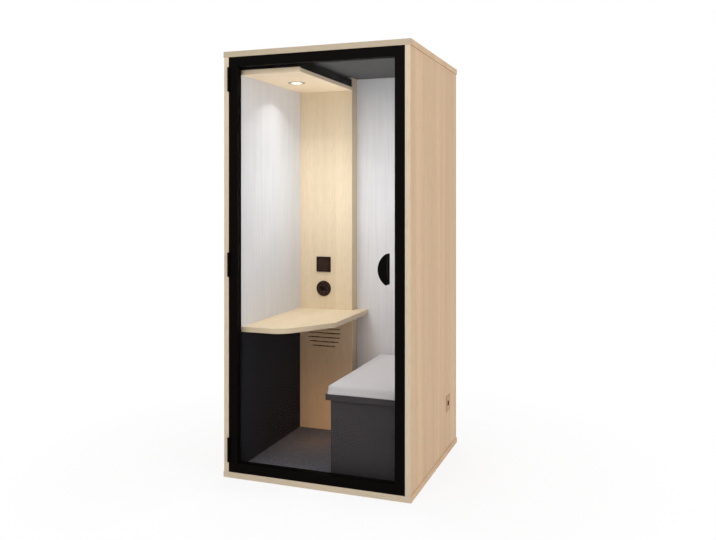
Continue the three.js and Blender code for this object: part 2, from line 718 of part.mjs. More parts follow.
// Switch plate with two push keys side by side, and the round outlet with its plug cup
function makeWallFittings() {
  const plateFrontY = columnFrontY - switchThickness;
  const windowWidth = 2 * keyWidth + 3 * fitClearance;
  const windowHeight = keyHeight + 2 * fitClearance;
  const plate = tile(serviceX, switchCentreZ, switchSize, switchSize, plateFrontY, columnFrontY);
  const wellBackY = columnFrontY - switchFloor;
  const well = tile(serviceX, switchCentreZ, windowWidth, windowHeight, plateFrontY - switchFloor, wellBackY);
  add("switch_plate", cut(plate, well), blackPlastic);
  const keyFrontY = plateFrontY - keyProud;
  const keyBackY = wellBackY - keyTravel - keyOverTravel;
  const keyOffset = (keyWidth + fitClearance) / 2;
  const key = (side) =>
    tile(serviceX + side * keyOffset, switchCentreZ, keyWidth, keyHeight, keyFrontY, keyBackY);
  add("light_key", key(-1), blackPlastic);
  add("fan_key", key(1), blackPlastic);

  const round = (radius, y0, y1, steps) => crossRod(radius, serviceX, outletCentreZ, y0, y1, steps);
  const faceY = columnFrontY - outletThickness;
  const flange = round(outletRadius, faceY + outletEdge, columnFrontY, fineSteps);
  const face = round(outletRadius - outletEdge, faceY, columnFrontY, fineSteps);
  const barrel = round(outletBarrelRadius, faceY + outletEdge, columnFrontY + outletBarrelDepth, coarseSteps);
  const cup = round(outletCupRadius, faceY - outletEdge, faceY + outletCupDepth, fineSteps);
  add("power_outlet", cut(join(flange, face, barrel), cup), blackPlastic);
}

function inletCentreY() {
  return rearFaceY - inletFromBack;
}

function inletBoxHoleOutline() {
  const halfWidth = inletBoxWidth / 2 + holeClearance;
  const halfHeight = inletBoxHeight / 2 + holeClearance;
  const y = inletCentreY();
  const z = inletCentreZ;
  return rectangle(y - halfWidth, y + halfWidth, z - halfHeight, z + halfHeight, THREE.Path);
}

// Power inlet: a plate on the panel with a moulded box through it
function makeInlet() {
  const y = inletCentreY();
  const boxFromX = sideX - inletBoxDepth;
  const plateX = sideX + inletPlateThickness;
  const around = (halfWidth, halfHeight, x0, x1) =>
    block(x0, x1, y - halfWidth, y + halfWidth, inletCentreZ - halfHeight, inletCentreZ + halfHeight);
  const body = join(
    around(inletSize / 2, inletSize / 2, sideX, plateX),
    around(inletBoxWidth / 2, inletBoxHeight / 2, boxFromX, sideX + joinOverlap),
  );
  const cavity = around(
    inletBoxWidth / 2 - inletWall,
    inletBoxHeight / 2 - inletWall,
    boxFromX + inletWall,
    plateX + joinOverlap,
  );
  add("power_inlet", cut(body, cavity), brownPlastic);
}

// Downlight: trim with a sleeve in the canopy, lens in its bore and a finned body above
function makeDownlight() {
  const sleeveTop = lightSleeveHeight;
  const trim = turned(
    [
      [lightBoreRadius, -lightTrimThickness],
      [lightTrimRadius, -lightTrimThickness],
      [lightTrimRadius, 0],
      [lightSleeveRadius, 0],
      [lightSleeveRadius, sleeveTop],
      [lightBoreRadius, sleeveTop],
      [lightBoreRadius, -lightTrimThickness],
    ],
    serviceX,
    lightY,
    canopyZ,
    fineSteps,
  );
  add("downlight_trim", trim, blackPlastic);
  const lensZ = canopyZ - lightTrimThickness + lensRecess;
  const lens = rod(lightBoreRadius - fitClearance, serviceX, lightY, lensZ, lensZ + lensThickness, fineSteps);
  add("downlight_lens", lens, lampGlass);

  const points = [[0, 0], [lightSleeveRadius, 0]];
  const finStep = lightBodyHeight / (2 * lightFinCount + 1);
  for (let fin = 0; fin < lightFinCount; fin++) {
    const low = (2 * fin + 1) * finStep;
    points.push([lightSleeveRadius, low], [lightSleeveRadius - lightFinDepth, low]);
    points.push([lightSleeveRadius - lightFinDepth, low + finStep], [lightSleeveRadius, low + finStep]);
  }
  points.push([lightSleeveRadius, lightBodyHeight], [0, lightBodyHeight]);
  const bodyZ = canopyZ + sleeveTop + fitClearance;
  add("downlight_body", turned(points, serviceX, lightY, bodyZ, fineSteps), steel);
}

// An axial fan about Z from z = 0: a square frame with a stator on four struts, and a bladed rotor on a shaft
function fan(size, fanDepth, hubRadius) {
  const half = size / 2;
  const tunnelRadius = half - fanRim;
  const statorZ = fanDepth - fanStatorDepth;
  const shaftTop = statorZ + fanShaftReach;
  const surround = block(-half, half, -half, half, 0, fanDepth);
  const tunnel = cut(surround, rod(tunnelRadius, 0, 0, -joinOverlap, fanDepth + joinOverlap, fineSteps));
  const strutReach = half - fanRim / 2;
  const strutSide = fanStrutWidth / 2;
  const frame = join(
    tunnel,
    rod(hubRadius, 0, 0, statorZ, fanDepth, fineSteps),
    block(-strutReach, strutReach, -strutSide, strutSide, statorZ, fanDepth),
    block(-strutSide, strutSide, -strutReach, strutReach, statorZ, fanDepth),
  );
  const bearing = rod(fanShaftRadius + fitClearance, 0, 0, statorZ - joinOverlap, shaftTop + fitClearance);

  const hubTop = statorZ - runningClearance;
  const tipRadius = tunnelRadius - runningClearance;
  const bladeSpan = hubTop - fanFaceSetback - fanBladeThickness;
  const chord = bladeSpan / Math.sin(fanBladePitch);
  const innerRadius = hubRadius / 2;
  const sweep = Math.sqrt(tipRadius ** 2 - (chord / 2) ** 2);
  const blades = [...Array(fanBlades).keys()].map((blade) =>
    new THREE.BoxGeometry(sweep - innerRadius, chord, fanBladeThickness)
      .rotateX(fanBladePitch)
      .translate((sweep + innerRadius) / 2, 0, (hubTop + fanFaceSetback) / 2)
      .rotateZ((2 * Math.PI * blade) / fanBlades),
  );
  const hub = rod(hubRadius, 0, 0, fanFaceSetback, hubTop, fineSteps);
  const shaft = rod(fanShaftRadius, 0, 0, hubTop - joinOverlap, shaftTop);
  return { frame: cut(frame, bearing), rotor: join(hub, shaft, ...blades) };
}

// Fans and the power supply, in the column and over the canopy
function makeServices() {
  const intake = fan(intakeFanSize, intakeFanDepth, intakeHubRadius);
  const intakeY = columnBackY + fitClearance;
  const toBack = (geometry) => geometry.rotateX(-Math.PI / 2).translate(serviceX, intakeY, grilleCentreZ);
  add("intake_fan_frame", toBack(intake.frame), blackPlastic);
  add("intake_fan_rotor", toBack(intake.rotor), blackPlastic);
  const exhaust = fan(exhaustFanSize, exhaustFanDepth, exhaustHubRadius);
  const exhaustZ = ceilingZ - fitClearance - exhaustFanDepth;
  add("exhaust_fan_frame", exhaust.frame.translate(columnCentreX, exhaustY, exhaustZ), blackPlastic);
  add("exhaust_fan_rotor", exhaust.rotor.translate(columnCentreX, exhaustY, exhaustZ), blackPlastic);
  const supplyBackY = columnBackY + supplyDepth;
  const supply = tile(columnCentreX, supplyCentreZ, supplyWidth, supplyHeight, columnBackY, supplyBackY);
  add("power_supply", supply, steel);
}

makeCarcass();
makeLining();
makeColumn();
makeDesk();
makeBench();
makeJamb();
makeDoor();
makeHandles();
makeHinges();
makeWallFittings();
makeInlet();
makeDownlight();
makeServices();

export default pod;
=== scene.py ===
import math

import bmesh
import bpy
from mathutils import Matrix, Vector


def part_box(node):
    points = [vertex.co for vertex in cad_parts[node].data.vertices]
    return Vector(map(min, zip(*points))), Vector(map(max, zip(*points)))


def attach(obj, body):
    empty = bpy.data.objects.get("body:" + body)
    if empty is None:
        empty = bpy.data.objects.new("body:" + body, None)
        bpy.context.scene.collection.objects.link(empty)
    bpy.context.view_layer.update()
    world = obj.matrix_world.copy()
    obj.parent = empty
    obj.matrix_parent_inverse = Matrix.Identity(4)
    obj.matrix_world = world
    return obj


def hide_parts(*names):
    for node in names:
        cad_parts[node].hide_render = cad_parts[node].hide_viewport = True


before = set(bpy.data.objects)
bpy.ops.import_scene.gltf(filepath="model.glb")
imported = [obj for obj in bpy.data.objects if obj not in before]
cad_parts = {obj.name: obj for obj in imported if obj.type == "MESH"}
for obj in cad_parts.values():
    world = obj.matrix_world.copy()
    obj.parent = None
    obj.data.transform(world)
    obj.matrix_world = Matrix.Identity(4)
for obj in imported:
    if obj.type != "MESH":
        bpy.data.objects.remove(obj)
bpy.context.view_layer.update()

# Studio: a pale floor under a white surround, lit by large soft lamps in front, at a side, behind and above.
# The camera stands level, as the photograph's upright edges show, so its frame is shifted down to the pod.
photo_width = 716
photo_middle_row = 270
horizon_row = 196.43
focal_pixels = 767.0
film_width = 36.0
camera_place = (1.5177, -3.9716, 1.4515)
camera_turn = 20.158
lens = bpy.data.cameras.new("photograph")
lens.sensor_fit = "HORIZONTAL"
lens.sensor_width = film_width
lens.lens = film_width * focal_pixels / photo_width
lens.shift_y = (horizon_row - photo_middle_row) / photo_width
camera = bpy.data.objects.new("camera", lens)
camera.location = camera_place
camera.rotation_euler = (math.radians(90), 0, math.radians(camera_turn))
bpy.context.scene.collection.objects.link(camera)
bpy.context.scene.camera = camera
bpy.context.scene.view_settings.view_transform = "Standard"


class Value:
    """A socket of a finish. Sums on it read as Python, and each adds a Math node."""

    def __init__(self, nodes, socket):
        self.nodes = nodes
        self.socket = socket

    def sum(self, operation, first, second):
        return self.nodes.add("ShaderNodeMath", {"operation": operation}, {0: first, 1: second})

    def __add__(self, other):
        return self.sum("ADD", self, other)

    def __sub__(self, other):
        return self.sum("SUBTRACT", self, other)

    def __rsub__(self, other):
        return self.sum("SUBTRACT", other, self)

    def __mul__(self, other):
        return self.sum("MULTIPLY", self, other)

    def __truediv__(self, other):
        return self.sum("DIVIDE", self, other)

    def __gt__(self, other):
        return self.sum("GREATER_THAN", self, other)

    def __lt__(self, other):
        return self.sum("LESS_THAN", self, other)

    def __or__(self, other):
        return self.sum("MAXIMUM", self, other)

    __radd__ = __add__
    __rmul__ = __mul__


class Nodes:
    """The node tree of one finish. Every node comes from add()."""

    def __init__(self, owner):
        owner.use_nodes = True
        self.owner = owner
        self.tree = owner.node_tree

    def add(self, kind, settings=None, sockets=None, output=0):
        node = self.tree.nodes.new(kind)
        for name, value in (settings or {}).items():
            setattr(node, name, value)
        self.fill(node, sockets or {})
        return Value(self, node.outputs[output])

    def fill(self, node, sockets):
        for name, value in sockets.items():
            if isinstance(value, Value):
                self.tree.links.new(value.socket, node.inputs[name])
            else:
                node.inputs[name].default_value = value

    def surface(self, sockets):
        self.fill(self.tree.nodes["Principled BSDF"], sockets)
        return self.owner

    def seen(self):
        """1 where the camera sees a surface straight, in a mirror or through glass."""
        rays = [self.add("ShaderNodeLightPath", output=f"Is {kind} Ray") for kind in seen_rays]
        return rays[0] | rays[1] | rays[2]


seen_rays = ("Camera", "Glossy", "Transmission")
ambient_level = 0.45
surround = bpy.data.worlds.new("surround")
bpy.context.scene.world = surround
sky = Nodes(surround)
sky_level = sky.seen() * (1 - ambient_level) + ambient_level
sky.fill(surround.node_tree.nodes["Background"], {"Color": (1, 1, 1, 1), "Strength": sky_level})

floor_size = 80
floor_white = 0.88
shadow_share = 0.16
shadow_near = 0.7
shadow_far = 1.9
floor_shape = bmesh.new()
bmesh.ops.create_grid(floor_shape, x_segments=1, y_segments=1, size=floor_size / 2)
floor_mesh = bpy.data.meshes.new("studio_floor")
floor_shape.to_mesh(floor_mesh)
floor_shape.free()
floor = bpy.data.objects.new("studio_floor", floor_mesh)
bpy.context.scene.collection.objects.link(floor)
floor_nodes = Nodes(bpy.data.materials.new("studio_floor"))
matt = floor_nodes.add("ShaderNodeBsdfDiffuse", {}, {"Color": (floor_white, floor_white, floor_white, 1)})
glow = floor_nodes.add("ShaderNodeEmission", {}, {"Color": (1, 1, 1, 1), "Strength": 1.0})
floor_place = floor_nodes.add("ShaderNodeTexCoord", output="Object")
from_pod = floor_nodes.add("ShaderNodeVectorMath", {"operation": "LENGTH"}, {0: floor_place}, "Value")
fade_sockets = {"Value": from_pod, "From Min": shadow_near, "From Max": shadow_far}
faded = floor_nodes.add("ShaderNodeMapRange", {}, fade_sockets | {"To Min": 1 - shadow_share, "To Max": 1.0})
mixed = floor_nodes.add("ShaderNodeMixShader", {}, {0: floor_nodes.seen() * faded, 1: matt, 2: glow})
floor_nodes.fill(floor_nodes.tree.nodes["Material Output"], {"Surface": mixed})
floor_mesh.materials.append(floor_nodes.owner)

pod_middle = Vector((0, 0, 1.1))


def soft_lamp(name, place, width, watts):
    light = bpy.data.lights.new(name, "AREA")
    light.size = width
    light.energy = watts
    lamp = bpy.data.objects.new(name, light)
    lamp.location = place
    lamp.rotation_euler = (pod_middle - Vector(place)).to_track_quat("-Z", "Y").to_euler()
    lamp.visible_camera = False
    bpy.context.scene.collection.objects.link(lamp)


soft_lamp("front_lamp", (-0.15, -3.0, 2.9), 2.0, 38)
soft_lamp("side_lamp", (4.6, -1.6, 2.5), 3.0, 70)
soft_lamp("back_lamp", (-1.7, 4.8, 2.8), 3.0, 85)
soft_lamp("top_lamp", (0.0, 0.4, 5.4), 3.5, 55)


# Carcass: five veneered boards, glued and dowelled. The base and roof run past the upright boards by a few
# millimetres, and every edge is banded with a paler strip of the same wood and eased by hand.
def paint(red, green, blue):
    """Screen values from 0 to 255 as the linear colour that a shader takes."""
    shares = [value / 255 for value in (red, green, blue)]
    return (*[s / 12.92 if s <= 0.04045 else ((s + 0.055) / 1.055) ** 2.4 for s in shares], 1)


def spots(nodes, stretch=(1, 1, 1)):
    """Object coordinates in metres, drawn out along the axes whose share is under 1."""
    place = nodes.add("ShaderNodeTexCoord", output="Object")
    return nodes.add("ShaderNodeMapping", {}, {"Vector": place, "Scale": stretch})


def noise(nodes, where, scale, detail=2.0, distortion=0.0):
    sockets = {"Vector": where, "Scale": scale, "Detail": detail, "Distortion": distortion}
    return nodes.add("ShaderNodeTexNoise", {}, sockets)


def blend(nodes, share, first, second):
    """A colour between two, by a share from 0 to 1."""
    return nodes.add("ShaderNodeMix", {"data_type": "RGBA"}, {0: share, 6: first, 7: second}, 2)


def relief(nodes, height, depth, strength=1.0):
    return nodes.add("ShaderNodeBump", {}, {"Height": height, "Distance": depth, "Strength": strength})


leaf_width = 0.12
grain_stretch = 0.03
pore_threshold = 0.64
outer_tones = paint(227, 195, 157), paint(196, 160, 123), paint(160, 123, 88)
inner_tones = paint(229, 211, 182), paint(211, 189, 156), paint(178, 147, 110)
# The canopy's tones are paler than the inner veneer's: painted light on the canopy's underside.
canopy_painted_light_tones = paint(247, 227, 198), paint(234, 209, 176), paint(196, 162, 124)
band_tone = paint(215, 197, 172)
roof_band_tone = paint(186, 170, 146)
band_depth = 0.0006


def veneer(name, grain, tones, band=band_tone):
    """Hardwood veneer in leaves, with a flame, fibres and short pores along one axis, and a banded front."""
    pale, deep, dark = tones
    nodes = Nodes(bpy.data.materials.new(name))
    where = spots(nodes, [grain_stretch if axis == grain else 1 for axis in "xyz"])
    place = nodes.add("ShaderNodeTexCoord", output="Object")
    split = [nodes.add("ShaderNodeSeparateXYZ", {}, {0: place}, i) for i in range(3)]
    across = [part for axis, part in zip("xyz", split) if axis != grain]
    leaf_number = (across[0] + across[1]) / leaf_width
    leaf = nodes.add("ShaderNodeMath", {"operation": "FLOOR"}, {0: leaf_number})
    leaf_tone = nodes.add("ShaderNodeTexWhiteNoise", {"noise_dimensions": "1D"}, {"W": leaf})
    flame = noise(nodes, where, 17, 3.0, 0.6)
    fibre = noise(nodes, where, 210, 3.0)
    pore = noise(nodes, where, 620, 1.0) > pore_threshold
    depth = flame * 0.9 + fibre * 0.45 + leaf_tone * 0.22 - 0.34
    wood = blend(nodes, depth, pale, deep)
    banded = blend(nodes, split[1] < cad_front + band_depth, wood, band)
    colour = blend(nodes, pore * 0.35, banded, dark)
    rough = 0.44 + fibre * 0.16 + pore * 0.1
    normal = relief(nodes, fibre - pore * 0.6, 0.00012, 0.6)
    sockets = {"Base Color": colour, "Roughness": rough, "Normal": normal, "Specular IOR Level": 0.35}
    return nodes.surface(sockets)


weld_distance = 0.00001
eased_angle = math.radians(40)


def dress(finish, names, edge=0.0):
    """Gives CAD nodes their finish, and eases their edges where a radius is given."""
    for name in names:
        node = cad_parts[name]
        node.material_slots[0].material = finish
        if edge:
            weld = node.modifiers.new("weld", "WELD")
            weld.merge_threshold = weld_distance
            bevel = node.modifiers.new("eased_edges", "BEVEL")
            bevel.width = edge
            bevel.segments = 2
            bevel.limit_method = "ANGLE"
            bevel.angle_limit = eased_angle


board_edge = 0.0012
cad_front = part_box("base_panel")[0].y
upright_veneer = veneer("upright_veneer", "z", outer_tones)
crosswise_veneer = veneer("crosswise_veneer", "x", outer_tones)
dress(upright_veneer, ["left_outer_panel", "right_outer_panel", "back_outer_panel"], board_edge)
roof_veneer = veneer("roof_veneer", "x", outer_tones, roof_band_tone)
dress(crosswise_veneer, ["base_panel"], board_edge)
dress(roof_veneer, ["roof_panel"], board_edge)


# Acoustic lining: pressed polyester felt over foam cores on the walls, a dark felt ceiling and a nearly black
# felt board under the desk. The sheets are cut square, glued to the cores and butted in the corners.
def felt(name, pale, deep, streak, fleck_scale=620, sheen=0.0):
    """Needled felt: mixed fibres of two tones, with the faint upright combing of the needles."""
    nodes = Nodes(bpy.data.materials.new(name))
    combed = noise(nodes, spots(nodes, (1, 1, 0.03)), 95, 3.0)
    fleck = noise(nodes, spots(nodes), fleck_scale, 3.0)
    fluff = noise(nodes, spots(nodes), 1500, 2.0)
    cloud = noise(nodes, spots(nodes), 6, 2.0)
    depth = combed * streak + fleck * 0.7 + cloud * 0.2 - 0.1 - streak / 2
    colour = blend(nodes, depth, pale, deep)
    rough = 0.88 + fluff * 0.12
    normal = relief(nodes, fleck + fluff * 0.6, 0.0006, 0.5)
    sockets = {"Base Color": colour, "Roughness": rough, "Normal": normal}
    return nodes.surface(sockets | {"Sheen Weight": sheen, "Specular IOR Level": 0.1})


felt_edge = 0.001
grey_felt = felt("grey_felt", paint(226, 224, 225), paint(190, 187, 188), 0.6, 620, 0.1)
dark_felt = felt("dark_ceiling_felt", paint(92, 91, 91), paint(62, 61, 61), 0.2)
core_felt = felt("acoustic_core", paint(150, 150, 146), paint(126, 126, 122), 0.1)
lower_felt = felt("dark_panel", paint(30, 29, 35), paint(16, 16, 20), 0.3)
dress(grey_felt, ["left_felt_panel", "right_felt_panel", "back_felt_panel"], felt_edge)
dress(dark_felt, ["ceiling_felt_panel"], felt_edge)
dress(core_felt, ["left_acoustic_core", "right_acoustic_core", "back_acoustic_core"], felt_edge)
dress(lower_felt, ["left_lower_panel"], felt_edge)

# Carpet: a low loop pile in dark warm grey, cut to the floor and glued down. The loops stand in close rows,
# a few millimetres apart, and their yarn is mixed from two shades.
carpet_pale = paint(126, 127, 136)
carpet_deep = paint(77, 77, 84)
loops_per_metre = 240
carpet_nodes = Nodes(bpy.data.materials.new("loop_carpet"))
carpet_spots = spots(carpet_nodes)
loop_sockets = {"Vector": carpet_spots, "Scale": loops_per_metre, "Randomness": 0.7}
loop_gap = carpet_nodes.add("ShaderNodeTexVoronoi", {}, loop_sockets)
loop_tone = carpet_nodes.add("ShaderNodeTexVoronoi", {}, loop_sockets, "Color")
loop_shade = carpet_nodes.add("ShaderNodeSeparateColor", {}, {0: loop_tone})
worn = noise(carpet_nodes, carpet_spots, 5, 3.0)
carpet_depth = loop_shade * 0.6 + loop_gap * 0.5 + worn * 0.3 - 0.25
carpet_colour = blend(carpet_nodes, carpet_depth, carpet_pale, carpet_deep)
carpet_sockets = {
    "Base Color": carpet_colour,
    "Roughness": 0.95,
    "Specular IOR Level": 0.1,
    "Normal": relief(carpet_nodes, 1 - loop_gap, 0.003, 0.8),
}
dress(carpet_nodes.surface(carpet_sockets), ["floor_carpet"])

# Service column and canopy: veneered boards that box in the wiring, the fans and the air path. The grille's
# slots are routed right through the front board, and a black strip hides the gap over the canopy. The
# canopy's front edge is banded with a strip of veneer that laps over the black one. The canopy's veneer is
# painted paler than the column's: painted light on the canopy's underside.
column_veneer = veneer("column_veneer", "z", inner_tones)
canopy_painted_light_veneer = veneer("canopy_painted_light_veneer", "y", canopy_painted_light_tones)
desk_veneer = veneer("desk_veneer", "y", inner_tones)
dress(column_veneer, ["column_board", "column_side_board"], board_edge)
dress(canopy_painted_light_veneer, ["canopy_board"], board_edge)


def coated_metal(name, tone, rough=0.5):
    """Metal with a matt powder coat: a fine orange peel and a slightly uneven gloss."""
    nodes = Nodes(bpy.data.materials.new(name))
    peel = noise(nodes, spots(nodes), 900, 2.0)
    cloud = noise(nodes, spots(nodes), 7, 2.0)
    colour = blend(nodes, cloud * 0.6 + peel * 0.2, tone, [c * 1.5 for c in tone[:3]] + [1])
    roughness = rough - 0.08 + peel * 0.12 + cloud * 0.06
    normal = relief(nodes, peel, 0.00008, 0.5)
    sockets = {"Base Color": colour, "Roughness": roughness, "Normal": normal, "Specular IOR Level": 0.025}
    return nodes.surface(sockets)


black_coat = coated_metal("black_powder_coat", paint(6, 5, 4))
fascia_coat = coated_metal("fascia_coat", paint(20, 16, 13))
dress(fascia_coat, ["canopy_fascia"], 0.0004)

smooth_angle = math.radians(35)
up = Matrix()
to_front = Matrix.Rotation(math.radians(90), 4, "X")
to_back = Matrix.Rotation(math.radians(-90), 4, "X")
to_right = Matrix.Rotation(math.radians(90), 4, "Y")
to_left = Matrix.Rotation(math.radians(-90), 4, "Y")
to_floor = Matrix.Rotation(math.radians(180), 4, "X")


def put(whole, part, place=(0, 0, 0), way=up):
    """Adds a part to a whole, turned so that its Z points one way, at a place."""
    part.transform(Matrix.Translation(place) @ way)
    mesh = bpy.data.meshes.new("part")
    part.to_mesh(mesh)
    part.free()
    whole.from_mesh(mesh)
    bpy.data.meshes.remove(mesh)


def fit(name, shape, finish, body, slot, *nodes):
    """Makes a shape into a piece that rides on a body and stands for the CAD nodes that are named."""
    bmesh.ops.recalc_face_normals(shape, faces=shape.faces)
    mesh = bpy.data.meshes.new(name)
    shape.to_mesh(mesh)
    shape.free()
    mesh.shade_smooth()
    mesh.set_sharp_from_angle(angle=smooth_angle)
    mesh.materials.append(finish)
    piece = bpy.data.objects.new(name, mesh)
    bpy.context.scene.collection.objects.link(piece)
    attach(piece, body)
    if nodes:
        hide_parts(*nodes)
    return piece


def bar(low, high, edge):
    """A box between two corners with rounded edges."""
    shape = bmesh.new()
    bmesh.ops.create_cube(shape, size=1.0)
    size = Vector(high) - Vector(low)
    shape.transform(Matrix.Translation((Vector(low) + Vector(high)) / 2) @ Matrix.Diagonal([*size, 1]))
    rounding = {"offset": edge, "segments": 3, "profile": 0.5, "affect": "EDGES", "material": -1}
    bmesh.ops.bevel(shape, geom=shape.edges[:], clamp_overlap=True, **rounding)
    return shape


lip_thickness = 0.001
lip_lap = 0.005
canopy_low, canopy_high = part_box("canopy_board")
lip_low = (canopy_low.x, canopy_low.y - lip_thickness, canopy_low.z)
lip_high = (canopy_high.x, canopy_low.y, canopy_high.z + lip_lap)
canopy_lip = bar(lip_low, lip_high, lip_thickness / 4)
# The lip takes the canopy's paler veneer, with its painted light.
fit("canopy_front_lip", canopy_lip, canopy_painted_light_veneer, "cabin", "veneer")


# Desk: a board with a long slanted front edge and rounded corners, veneered on both faces and banded. It
# rests on two steel angles, screwed to the left wall and to the column from below the board.
def turned(profile, steps=40):
    """A form turned about Z from (radius, level) points that start and end on the axis."""
    shape = bmesh.new()
    points = [shape.verts.new((radius, 0, level)) for radius, level in profile]
    edges = [shape.edges.new(pair) for pair in zip(points, points[1:])]
    sweep = {"axis": (0, 0, 1), "cent": (0, 0, 0), "angle": math.tau, "steps": steps, "use_merge": True}
    bmesh.ops.spin(shape, geom=points + edges, **sweep)
    bmesh.ops.remove_doubles(shape, verts=shape.verts, dist=weld_distance)
    return shape


screw_radius = 0.0042
screw_rise = 0.0014


def screw_head():
    """A pan head with a round drive, whose foot is at level 0."""
    wide, rise = screw_radius, screw_rise
    rim = [(wide, 0), (wide, rise * 0.45), (wide * 0.8, rise * 0.9), (wide * 0.45, rise)]
    return turned([(0, 0), *rim, (wide * 0.38, rise * 0.3), (0, rise * 0.3)], 24)


def bare_metal(name, tone, rough):
    nodes = Nodes(bpy.data.materials.new(name))
    brush = noise(nodes, spots(nodes, (1, 1, 0.02)), 700, 2.0)
    colour = blend(nodes, brush, tone, [c * 0.8 for c in tone[:3]] + [1])
    normal = relief(nodes, brush, 0.00004, 0.4)
    sockets = {"Base Color": colour, "Metallic": 1.0, "Roughness": rough + brush * 0.15, "Normal": normal}
    return nodes.surface(sockets)


def evenly(start, end, count):
    """Places at equal steps, half a step in from each end."""
    return [start + (end - start) * (i + 0.5) / count for i in range(count)]


bright_steel = bare_metal("bare_steel", paint(178, 180, 182), 0.28)


def screws(name, places, way, finish=bright_steel, slot="bare_steel"):
    row = bmesh.new()
    for place in places:
        put(row, screw_head(), place, way)
    fit(name, row, finish, "cabin", slot)


dress(desk_veneer, ["desk_top"], 0.0025)
dress(black_coat, ["desk_wall_bracket", "desk_column_bracket"], 0.0004)
bracket_thickness = 0.003
wall_low, wall_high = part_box("desk_wall_bracket")
column_low, column_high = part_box("desk_column_bracket")
leg_level = (wall_low.z + wall_high.z) / 2
wall_leg = [(wall_low.x + bracket_thickness, y, leg_level) for y in evenly(wall_low.y, wall_high.y, 4)]
screws("wall_bracket_screws", wall_leg, to_right)
column_leg_y = column_high.y - bracket_thickness
column_leg = [(x, column_leg_y, leg_level) for x in evenly(column_low.x, column_high.x, 3)]
screws("column_bracket_screws", column_leg, to_front)
flange_level = wall_high.z - bracket_thickness
wall_flange_x = (wall_low.x + wall_high.x + bracket_thickness) / 2
wall_flange = [(wall_flange_x, y, flange_level) for y in evenly(wall_low.y, wall_high.y, 4)]
column_flange_y = (column_low.y + column_high.y - bracket_thickness) / 2
column_flange = [(x, column_flange_y, flange_level) for x in evenly(column_low.x, column_high.x, 3)]
screws("desk_screws", wall_flange + column_flange, to_floor)


# Bench: a board on a front panel, a side panel and a wall rail, in a dark grey laminate with a dull grain.
# The boards are dowelled and glued, and the rail under the board is screwed to the wall.
def laminate(name, pale, deep):
    nodes = Nodes(bpy.data.materials.new(name))
    grain = noise(nodes, spots(nodes, (1, 1, 0.05)), 240, 3.0)
    fleck = noise(nodes, spots(nodes), 1100, 2.0)
    colour = blend(nodes, grain * 0.7 + fleck * 0.4 - 0.05, pale, deep)
    normal = relief(nodes, fleck, 0.0001, 0.4)
    sockets = {"Base Color": colour, "Roughness": 0.55 + grain * 0.15, "Normal": normal}
    return nodes.surface(sockets | {"Specular IOR Level": 0.15})


bench_laminate = laminate("bench_laminate", paint(66, 61, 63), paint(48, 44, 46))
dress(bench_laminate, ["bench_top_board", "bench_front_panel", "bench_side_panel"], board_edge)
dress(crosswise_veneer, ["bench_wall_rail"], board_edge)

# Seat cushion: a firm foam pad in a light grey felted cover, loose on the bench and pushed up to the walls.
# The foam swells the cover between its corners. Its upper edges are worn round and its foot rests flat.
pad_shrink = 0.001
pad_rounding = 0.009
pad_skirt = 0.01
pad_skirt_share = 0.1
pad_voxel = 0.007
pad_softenings = 12
pad_pressure = 4.0
pad_frames = 20
pad_cap = 0.005
pad_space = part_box("seat_cushion")
pad_middle = (pad_space[0] + pad_space[1]) / 2
pad_half = (pad_space[1] - pad_space[0]) / 2
board_level = pad_space[0].z
shrink = Matrix.Diagonal([1 - pad_shrink / half for half in pad_half] + [1])


def settled(piece):
    """A piece's mesh with its modifiers applied."""
    return bpy.data.meshes.new_from_object(piece.evaluated_get(bpy.context.evaluated_depsgraph_get()))


def lengthen(mesh):
    """Carries a pad's sides straight down in place of their lower rounding, to be cut off at the board."""
    for vertex in mesh.vertices:
        height = vertex.co.z - board_level
        if height < pad_rounding + pad_shrink:
            vertex.co.z = board_level - pad_skirt + height * pad_skirt_share


def soften(mesh):
    """Wears a pad's upper edges round."""
    shape = bmesh.new()
    shape.from_mesh(mesh)
    upper = [vertex for vertex in shape.verts if vertex.co.z > board_level]
    axes = {"use_axis_x": True, "use_axis_y": True, "use_axis_z": True}
    for turn in range(pad_softenings):
        bmesh.ops.smooth_vert(shape, verts=upper, factor=0.5, **axes)
    shape.to_mesh(mesh)
    shape.free()


def spread(mesh):
    """Spreads a pad over its whole place again, after the softening drew it in."""
    for axis in range(2):
        reach = [vertex.co[axis] for vertex in mesh.vertices]
        stretch = 2 * (pad_half[axis] - pad_shrink) / (max(reach) - min(reach))
        middle = (max(reach) + min(reach)) / 2
        for vertex in mesh.vertices:
            vertex.co[axis] = pad_middle[axis] + (vertex.co[axis] - middle) * stretch


def cut_flat(mesh):
    """Cuts a pad off where it rests on the board."""
    shape = bmesh.new()
    shape.from_mesh(mesh)
    parts = shape.verts[:] + shape.edges[:] + shape.faces[:]
    plane = {"plane_co": pad_space[0], "plane_no": (0, 0, 1), "dist": weld_distance}
    cut = bmesh.ops.bisect_plane(shape, geom=parts, clear_inner=True, **plane)
    rim = [item for item in cut["geom_cut"] if isinstance(item, bmesh.types.BMEdge)]
    bmesh.ops.edgeloop_fill(shape, edges=rim)
    shape.to_mesh(mesh)
    shape.free()


